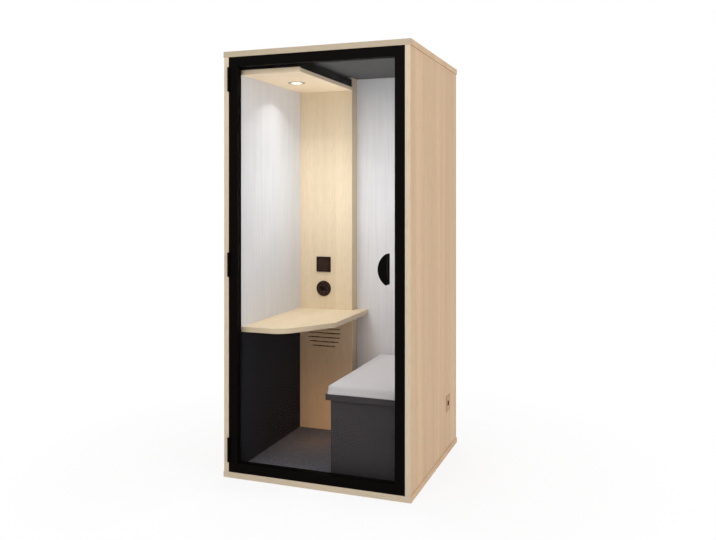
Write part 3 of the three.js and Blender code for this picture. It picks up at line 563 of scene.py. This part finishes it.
cushion_felt = felt("cushion_fabric", paint(217, 212, 212), paint(183, 177, 178), 0.0, 260)
pad_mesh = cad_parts["seat_cushion"].data.copy()
pad_mesh.transform(Matrix.Translation(pad_middle) @ shrink @ Matrix.Translation(-pad_middle))
lengthen(pad_mesh)
pad = bpy.data.objects.new("cushion_pad", pad_mesh)
bpy.context.scene.collection.objects.link(pad)
remesh = pad.modifiers.new("cover", "REMESH")
remesh.mode = "VOXEL"
remesh.voxel_size = pad_voxel
pad.data = settled(pad)
pad.modifiers.clear()
soften(pad.data)
resting = pad.vertex_groups.new(name="resting")
resting.add([v.index for v in pad.data.vertices if v.co.z < board_level], 1.0, "REPLACE")
cloth = pad.modifiers.new("swell", "CLOTH")
cloth.settings.vertex_group_mass = resting.name
cloth.settings.use_pressure = True
cloth.settings.uniform_pressure_force = pad_pressure
cloth.settings.effector_weights.gravity = 0
for step in range(pad_frames):
    bpy.context.scene.frame_set(step + 1)
swollen = settled(pad)
pad.modifiers.clear()
pad.vertex_groups.clear()
bpy.context.scene.frame_set(1)
for vertex, goal in zip(pad.data.vertices, swollen.vertices):
    move = goal.co - vertex.co
    if move.length > pad_cap:
        move.length = pad_cap
    reach = vertex.co + move
    for axis, low, high in zip(range(2), pad_space[0], pad_space[1]):
        reach[axis] = min(max(reach[axis], low), high)
    reach.z = min(reach.z, pad_space[1].z)
    vertex.co = reach
finer = pad.modifiers.new("smooth_cover", "SUBSURF")
finer.levels = 1
finer.render_levels = 1
pad.data = settled(pad)
pad.modifiers.clear()
spread(pad.data)
cut_flat(pad.data)
pad.data.materials.clear()
pad.data.materials.append(cushion_felt)
pad.data.shade_smooth()
pad.data.set_sharp_from_angle(angle=smooth_angle)
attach(pad, "cabin")
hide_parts("seat_cushion")


# Door surround: four black aluminium bars screwed to the carcass behind the leaf, a hollow rubber seal on
# their faces, and the catch's magnet in the lock side. A thin black strip lines the carcass round the leaf.
def moulded(name, tone, rough=0.5, gloss=0.15):
    """Moulded rubber or plastic with a fine spark texture."""
    nodes = Nodes(bpy.data.materials.new(name))
    spark = noise(nodes, spots(nodes), 1400, 2.0)
    cloud = noise(nodes, spots(nodes), 9, 2.0)
    colour = blend(nodes, cloud * 0.5 + spark * 0.3, tone, [c * 1.35 for c in tone[:3]] + [1])
    normal = relief(nodes, spark, 0.00006, 0.5)
    sockets = {"Base Color": colour, "Roughness": rough + spark * 0.12, "Normal": normal}
    return nodes.surface(sockets | {"Specular IOR Level": gloss})


rubber = moulded("black_rubber", paint(16, 16, 16), 0.75, 0.1)
black_plastic = moulded("black_plastic", paint(33, 19, 13), 0.45, 0.1)
dress(black_coat, ["jamb_left", "jamb_right", "jamb_head", "jamb_sill"], 0.0006)
dress(rubber, ["door_seal", "glazing_bead"])
dress(black_plastic, ["catch_magnet"], 0.0004)


lining_thickness = 0.001
lining_setback = 0.0004
lining_round = 0.0002
lining_front = cad_front + lining_setback
lining_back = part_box("jamb_head")[0].y
reveal_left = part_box("left_outer_panel")[1].x
reveal_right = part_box("right_outer_panel")[0].x
reveal_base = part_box("base_panel")[1].z
reveal_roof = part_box("roof_panel")[0].z
upright_base = reveal_base + lining_thickness
upright_roof = reveal_roof - lining_thickness
reveal_lining = bmesh.new()


def line_reveal(x0, x1, z0, z1):
    put(reveal_lining, bar((x0, lining_front, z0), (x1, lining_back, z1), lining_round))


line_reveal(reveal_left, reveal_right, reveal_base, upright_base)
line_reveal(reveal_left, reveal_right, upright_roof, reveal_roof)
line_reveal(reveal_right - lining_thickness, reveal_right, upright_base, upright_roof)
hinge_boxes = [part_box(f"hinge_frame_leaf_{level}") for level in ("lower", "middle", "upper")]
strip_starts = [upright_base] + [high.z for low, high in hinge_boxes]
strip_ends = [low.z for low, high in hinge_boxes] + [upright_roof]
for start, end in zip(strip_starts, strip_ends):
    line_reveal(reveal_left, reveal_left + lining_thickness, start, end)
fit("reveal_lining", reveal_lining, rubber, "cabin", "black_rubber")

# Door leaf: a black aluminium frame with tenoned corners, and one pane of toughened glass held from behind
# by a rubber bead. A steel strike plate for the magnet is let into its lock stile.
dress(black_coat, ["door_hinge_stile", "door_lock_stile", "door_top_rail", "door_bottom_rail"], 0.0008)
glass_nodes = Nodes(bpy.data.materials.new("door_glass"))
glass_sockets = {
    "Base Color": (0.02, 0.02, 0.02, 1),
    "Roughness": 0.02,
    "Alpha": 0.03,
    "Specular IOR Level": 0.8,
}
dress(glass_nodes.surface(glass_sockets), ["door_glass"])
glass_nodes.owner.surface_render_method = "BLENDED"
dress(bright_steel, ["strike_plate"], 0.0003)

# Pull handles: a half disc of black aluminium on each side of the glass, its straight edge to the lock stile.
# A spine along that edge stands on a thin gasket on the glass, and two bolts from inside clamp the pair.
handle_plate = 0.008
handle_round = 0.0022
spine_width = 0.009
spine_round = 0.0008
gasket_thickness = 0.0008
corner_ease = 0.03
bolt_radius = 0.0028
bolt_spacing = 0.084
inner_low, inner_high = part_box("inner_handle")
glass_low, glass_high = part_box("door_glass")


def slab(outline, start, end, edge):
    """A flat outline in XZ made thick along Y, with its rims rounded."""
    shape = bmesh.new()
    face = shape.faces.new([shape.verts.new((x, start, z)) for x, z in outline])
    side = bmesh.ops.extrude_face_region(shape, geom=[face])
    moved = [item for item in side["geom"] if isinstance(item, bmesh.types.BMVert)]
    bmesh.ops.translate(shape, verts=moved, vec=(0, end - start, 0))
    rims = [rim for rim in shape.edges if abs(rim.verts[0].co.y - rim.verts[1].co.y) < weld_distance]
    rounding = {"offset": edge, "segments": 4, "profile": 0.5, "affect": "EDGES", "material": -1}
    bmesh.ops.bevel(shape, geom=rims, clamp_overlap=True, **rounding)
    return shape


def segment_outline(low, high, cut, steps=28):
    """The part of a disc between two uprights: the right one is its chord, with eased corners."""
    width = high.x - low.x
    half = (high.z - low.z) / 2
    radius = (half ** 2 + width ** 2) / (2 * width)
    centre = Vector((low.x + radius, (low.z + high.z) / 2))
    wide = math.asin(half / radius) * (1 - corner_ease)
    narrow = math.acos((centre.x - cut) / radius)
    sweep = [narrow + (wide - narrow) * i / steps for i in range(steps + 1)]
    angles = [math.pi - angle for angle in reversed(sweep)] + [math.pi + angle for angle in sweep if angle]
    arc = [(centre.x + radius * math.cos(a), centre.y + radius * math.sin(a)) for a in angles]
    step = half * corner_ease
    return arc + [(high.x, low.z + step), (high.x, high.z - step)]


def bolt_places(level):
    """Where the two bolts cross a level of Y: on the spine's middle line."""
    middle = (inner_low.z + inner_high.z) / 2
    return [(inner_high.x - spine_width / 2, level, middle + side * bolt_spacing / 2) for side in (-1, 1)]


outer_low, outer_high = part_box("outer_handle")
plate_outline = segment_outline(outer_low, outer_high, outer_low.x)
spine_outline = segment_outline(outer_low, outer_high, outer_high.x - spine_width)
overlap = handle_plate / 2
outer_pull = slab(plate_outline, outer_low.y, outer_low.y + handle_plate, handle_round)
put(outer_pull, slab(spine_outline, outer_low.y + overlap, glass_low.y - gasket_thickness, spine_round))
fit("outer_pull", outer_pull, black_coat, "door", "black_aluminium", "outer_handle")
inner_pull = slab(plate_outline, inner_high.y - handle_plate, inner_high.y, handle_round)
put(inner_pull, slab(spine_outline, glass_high.y + gasket_thickness, inner_high.y - overlap, spine_round))
bolt_reach = inner_high.y - overlap - inner_low.y
bolt_profile = [(0, 0), (bolt_radius, 0), (bolt_radius, bolt_reach), (0, bolt_reach)]
for place in bolt_places(inner_high.y - overlap):
    put(inner_pull, turned(bolt_profile, 20), place, to_front)
fit("inner_pull", inner_pull, black_coat, "door", "black_aluminium", "inner_handle")
gaskets = slab(spine_outline, glass_low.y - gasket_thickness, glass_low.y, gasket_thickness / 4)
put(gaskets, slab(spine_outline, glass_high.y, glass_high.y + gasket_thickness, gasket_thickness / 4))
fit("handle_gaskets", gaskets, rubber, "door", "black_rubber")
bolt_heads = bmesh.new()
for place in bolt_places(inner_high.y):
    put(bolt_heads, screw_head(), place, to_back)
fit("handle_bolt_heads", bolt_heads, black_coat, "door", "black_aluminium")

# Hinges: three lift-off hinges of black steel. The lower knuckle and its pin stay on the carcass, the upper
# knuckle lifts off with the door, and each leaf is held in its board's edge by four flat screws.
knuckle_radius = 0.006
knuckle_ease = 0.0012
pin_radius = 0.0031
pin_reach = 0.0445
bore_radius = 0.0034
leaf_thickness = 0.0024
leaf_round = 0.0006
leaf_joint = 0.004
bush_height = 0.0012
flat_screw = [(0, 0), (0.0034, 0), (0.0034, 0.0001), (0.003, 0.0002), (0.0016, 0.0002), (0.0013, 0), (0, 0)]


def knuckle(height, bore=0.0):
    """A barrel with eased ends, from level 0, bored from below where a depth is given."""
    wide, ease = knuckle_radius, knuckle_ease
    outside = [(wide - ease, 0), (wide, ease), (wide, height - ease), (wide - ease, height), (0, height)]
    if bore:
        return turned([(0, bore), (bore_radius, bore), (bore_radius, 0), *outside])
    return turned([(0, 0), *outside])


leaf_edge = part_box("door_hinge_stile")[0].x
axis_x = (reveal_left + leaf_edge) / 2
for level in ("lower", "middle", "upper"):
    for kind, body, plate_x in (("frame", "cabin", reveal_left), ("door", "door", leaf_edge)):
        node = f"hinge_{kind}_leaf_{level}"
        low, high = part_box(node)
        axis_y = low.y + knuckle_radius
        middle = (low.z + high.z) / 2
        far_x = plate_x + leaf_thickness
        hinge = bar((plate_x, cad_front, low.z), (far_x, high.y, high.z), leaf_round)
        if kind == "door":
            start = middle + bush_height
            bore = middle + pin_reach + bush_height - start
            put(hinge, knuckle(high.z - start, bore), (axis_x, axis_y, start))
            put(hinge, bar((plate_x, axis_y, start), (far_x, cad_front + leaf_joint, high.z), leaf_round))
        else:
            put(hinge, knuckle(middle - low.z), (axis_x, axis_y, low.z))
            tip = [(pin_radius, pin_reach - 0.001), (pin_radius * 0.7, pin_reach), (0, pin_reach)]
            put(hinge, turned([(0, 0), (pin_radius, 0), *tip], 24), (axis_x, axis_y, middle))
            put(hinge, bar((plate_x, axis_y, low.z), (far_x, cad_front + leaf_joint, middle), leaf_round))
        fit(f"{kind}_hinge_{level}", hinge, black_coat, body, "black_steel", node)
        heads = bmesh.new()
        face_x, way = (plate_x, to_left) if kind == "door" else (far_x, to_right)
        for z in evenly(low.z, high.z, 4):
            put(heads, turned(flat_screw, 20), (face_x, (cad_front + high.y + leaf_joint) / 2, z), way)
        fit(f"{kind}_hinge_screws_{level}", heads, bright_steel, body, "bare_steel")

# Wall fittings: a square switch plate with two push keys and a round outlet under it, moulded in black
# plastic, on the column over the desk. A brown plate with the power inlet is low on the right side.
dress(black_plastic, ["switch_plate"], 0.0016)
key_plastic = moulded("key_plastic", paint(39, 23, 16), 0.4, 0.12)
dress(key_plastic, ["light_key", "fan_key"], 0.0014)
mark_ink = moulded("key_mark", paint(100, 93, 88), 0.5)
mark_rise = 0.0003


def mark_bar(width, length, angle, out):
    """A short bar of a key's mark, some way out from the mark's middle."""
    shape = bar((-width / 2, out, -mark_rise), (width / 2, out + length, mark_rise), mark_rise * 0.5)
    shape.transform(Matrix.Rotation(angle, 4, "Z"))
    return shape


def mark_ring(radius, width):
    rise = mark_rise
    inner, outer = radius - width / 2, radius + width / 2
    return turned([(inner, -rise), (outer, -rise), (outer, rise), (inner, rise), (inner, -rise)], 36)


for node in ("light_key", "fan_key"):
    low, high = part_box(node)
    middle = Vector(((low.x + high.x) / 2, low.y, (low.z + high.z) / 2))
    mark = bmesh.new()
    if node == "light_key":
        put(mark, mark_ring(0.0028, 0.0009), middle, to_front)
        for ray in range(8):
            put(mark, mark_bar(0.0008, 0.0018, ray * math.tau / 8, 0.0045), middle, to_front)
    else:
        put(mark, mark_ring(0.0014, 0.0009), middle, to_front)
        for blade in range(3):
            put(mark, mark_bar(0.0026, 0.0036, blade * math.tau / 3, 0.0026), middle, to_front)
    fit(node + "_mark", mark, mark_ink, node, "black_plastic")

outlet_low, outlet_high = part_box("power_outlet")
outlet_radius = (outlet_high.x - outlet_low.x) / 2
outlet_face = 0.009
cup_radius = 0.0207
cup_depth = 0.0172
barrel_radius = 0.0238
pin_spacing = 0.019
outlet_middle = (outlet_low + outlet_high) / 2
outlet_middle.y = outlet_low.y + outlet_face
back_level = outlet_low.y + outlet_face - outlet_high.y
cup_floor = outlet_face - cup_depth
outlet_profile = [
    (0, back_level),
    (barrel_radius - 0.001, back_level),
    (barrel_radius, back_level + 0.001),
    (barrel_radius, 0.0001),
    (outlet_radius, 0.0001),
    (outlet_radius, outlet_face - 0.0046),
    (outlet_radius - 0.0006, outlet_face - 0.0028),
    (outlet_radius - 0.002, outlet_face - 0.0012),
    (outlet_radius - 0.0045, outlet_face - 0.0003),
    (outlet_radius - 0.008, outlet_face),
    (cup_radius + 0.0042, outlet_face),
    (cup_radius + 0.0038, outlet_face - 0.0008),
    (cup_radius + 0.003, outlet_face - 0.0008),
    (cup_radius + 0.0026, outlet_face),
    (cup_radius + 0.0006, outlet_face),
    (cup_radius, outlet_face - 0.0006),
    (cup_radius - 0.0008, cup_floor),
    (0, cup_floor),
]
outlet = turned(outlet_profile, 72)
hole_radius = 0.0026
bush_radius = 0.0036
bush_foot = cup_floor - 0.0002
bush_face = cup_floor + 0.0008
bush_profile = [
    (hole_radius, bush_foot),
    (bush_radius, bush_foot),
    (bush_radius, bush_face),
    (hole_radius, bush_face),
    (hole_radius, bush_foot),
]
for side in (-1, 1):
    put(outlet, turned(bush_profile, 28), (side * pin_spacing / 2, 0, 0))
outlet.transform(Matrix.Translation(outlet_middle) @ to_front)
fit("round_outlet", outlet, key_plastic, "cabin", "black_plastic", "power_outlet")
holes = bmesh.new()
hole_foot = cup_floor + 0.0001
hole_face = cup_floor + 0.0002
hole_profile = [(0, hole_foot), (hole_radius, hole_foot), (hole_radius, hole_face), (0, hole_face)]
for side in (-1, 1):
    put(holes, turned(hole_profile, 24), (side * pin_spacing / 2, 0, 0))
holes.transform(Matrix.Translation(outlet_middle) @ to_front)
fit("outlet_pin_holes", holes, rubber, "cabin", "black_plastic")
clips = bmesh.new()
for side in (-1, 1):
    reach = side * (cup_radius - 0.0009)
    tip = side * (cup_radius - 0.0026)
    corners = sorted((reach, tip))
    put(clips, bar((-0.0022, corners[0], cup_floor), (0.0022, corners[1], outlet_face - 0.005), 0.0006))
clips.transform(Matrix.Translation(outlet_middle) @ to_front)
fit("outlet_earth_clips", clips, bright_steel, "cabin", "bare_steel")

brown_plastic = moulded("brown_plastic", paint(182, 143, 113), 0.5)
dress(brown_plastic, ["power_inlet"], 0.0012)
inlet_low, inlet_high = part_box("power_inlet")
inlet_middle = (inlet_low + inlet_high) / 2
socket_wide = 0.0158
socket_tall = 0.0128
socket_lining = 0.0012
socket_floor = inlet_low.x + 0.0041
socket_mouth = inlet_high.x - 0.0006


def line_socket(x1, y0, y1, z0, z1):
    low = (socket_floor, inlet_middle.y + y0, inlet_middle.z + z0)
    high = (x1, inlet_middle.y + y1, inlet_middle.z + z1)
    put(socket, bar(low, high, socket_lining / 4))


socket = bmesh.new()
line_socket(socket_floor + socket_lining, -socket_wide, socket_wide, -socket_tall, socket_tall)
for side in (-1, 1):
    y0, y1 = sorted((side * socket_wide, side * (socket_wide - socket_lining)))
    line_socket(socket_mouth, y0, y1, -socket_tall, socket_tall)
    z0, z1 = sorted((side * socket_tall, side * (socket_tall - socket_lining)))
    line_socket(socket_mouth, -socket_wide, socket_wide, z0, z1)
fit("inlet_socket_lining", socket, black_plastic, "cabin", "black_plastic")
pins = bmesh.new()
for step_y, step_z in ((-0.007, -0.003), (0, 0.004), (0.007, -0.003)):
    pin_low = (inlet_low.x + 0.0035, inlet_middle.y + step_y - 0.001, inlet_middle.z + step_z - 0.002)
    pin_high = (inlet_high.x - 0.004, inlet_middle.y + step_y + 0.001, inlet_middle.z + step_z + 0.002)
    put(pins, bar(pin_low, pin_high, 0.0006))
fit("inlet_pins", pins, bright_steel, "cabin", "bare_steel")
screw_reach = (inlet_high.y - inlet_low.y) / 2 - 0.012
inlet_screws = [
    (inlet_high.x - 0.0002, inlet_middle.y + side_y * screw_reach, inlet_middle.z + side_z * screw_reach)
    for side_y in (-1, 1)
    for side_z in (-1, 1)
]
screws("inlet_screws", inlet_screws, to_right, brown_plastic, "brown_plastic")

# Downlight: a satin trim ring pressed up into the canopy, a frosted lens in its bore and a finned body above.
# The lens glows, and its beam spreads over the left wall, the column and the desk.
trim_enamel = moulded("trim_enamel", paint(168, 156, 138), 0.35, 0.4)
cast_metal = bare_metal("cast_aluminium", paint(160, 162, 164), 0.4)
trim_low, trim_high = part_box("downlight_trim")
lens_low, lens_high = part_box("downlight_lens")
light_middle = Vector(((trim_low.x + trim_high.x) / 2, (trim_low.y + trim_high.y) / 2, canopy_low.z))
trim_radius = (trim_high.x - trim_low.x) / 2
bore_wide = (lens_high.x - lens_low.x) / 2 + 0.0003
drop = trim_low.z - canopy_low.z
sleeve_radius = 0.0375
trim_profile = [
    (bore_wide, trim_high.z - canopy_low.z),
    (bore_wide, lens_high.z - canopy_low.z),
    (bore_wide, drop + 0.0014),
    (bore_wide + 0.0012, drop + 0.0003),
    (bore_wide + 0.003, drop),
    (trim_radius - 0.006, drop + 0.0004),
    (trim_radius - 0.002, drop + 0.0014),
    (trim_radius, -0.0006),
    (trim_radius, 0),
    (sleeve_radius, 0),
    (sleeve_radius, trim_high.z - canopy_low.z),
    (bore_wide, trim_high.z - canopy_low.z),
]
trim = turned(trim_profile, 72)
trim.transform(Matrix.Translation(light_middle))
fit("light_trim", trim, trim_enamel, "cabin", "trim_enamel", "downlight_trim")
dress(cast_metal, ["downlight_body"])
lens_nodes = Nodes(bpy.data.materials.new("lamp_diffuser"))
lens_sockets = {
    "Base Color": paint(255, 250, 240),
    "Roughness": 0.4,
    "Emission Color": (1, 0.96, 0.88, 1),
    "Emission Strength": 3.0,
}
lens_glass = lens_nodes.surface(lens_sockets)
lens_wide = bore_wide - 0.0003
lens_base = lens_low.z - canopy_low.z
lens_top = lens_high.z - canopy_low.z
lens_profile = [
    (0, lens_top),
    (lens_wide, lens_top),
    (lens_wide, lens_base + 0.0018),
    (lens_wide - 0.004, lens_base + 0.0008),
    (lens_wide * 0.5, lens_base + 0.0002),
    (0, lens_base),
]
dome = turned(lens_profile, 64)
dome.transform(Matrix.Translation(light_middle))
fit("light_lens", dome, lens_glass, "cabin", "lamp_diffuser", "downlight_lens")


def cabin_lamp(name, kind, place, watts, softness, colour, narrowing=0.0, lean=0.0):
    """A lamp that fades with distance, not its square. Narrowing gathers its light down, lean to the left."""
    light = bpy.data.lights.new(name, kind)
    light.energy = watts
    light.color = colour
    light.shadow_soft_size = softness
    nodes = Nodes(light)
    strength = nodes.add("ShaderNodeLightFalloff", {}, {"Strength": 1.0}, "Linear")
    facing = nodes.add("ShaderNodeTexCoord", output="Normal")
    right, ahead, down = [nodes.add("ShaderNodeSeparateXYZ", {}, {0: facing}, axis) for axis in range(3)]
    gathered = nodes.add("ShaderNodeMath", {"operation": "POWER"}, {0: down * down, 1: narrowing})
    nodes.fill(nodes.tree.nodes["Emission"], {"Strength": strength * gathered * (1 - right * lean)})
    lamp = bpy.data.objects.new(name, light)
    lamp.location = place
    lamp.visible_camera = False
    lamp.visible_glossy = False
    bpy.context.scene.collection.objects.link(lamp)
    return light


beam_place = light_middle + Vector((0, 0, drop - 0.002))
beam = cabin_lamp("downlight_beam", "SPOT", beam_place, 11.6, 0.005, (0.95, 0.98, 1.0), 1.5, 0.7)
beam.spot_size = math.radians(114.5)
beam.spot_blend = 0.09
cabin_lamp("cabin_fill", "POINT", (-0.11, -0.01, 1.49), 8.4, 0.24, (0.9, 0.97, 1.0), 0.0, 0.15)
cabin_lamp("bench_fill", "POINT", (0.2, -0.04, 1.68), 3.0, 0.2, (0.9, 0.97, 1.0))
cabin_lamp("desk_fill", "POINT", (-0.22, 0.08, 0.12), 2.6, 0.1, (1.0, 0.45, 0.1))

# Air and power: two axial fans in black plastic, one behind the grille and one over the canopy, and the
# power supply's steel case on the back of the column.
fan_names = [f"{place}_fan_{part}" for place in ("intake", "exhaust") for part in ("frame", "rotor")]
dress(black_plastic, fan_names)
dress(bright_steel, ["power_supply"], 0.0008)
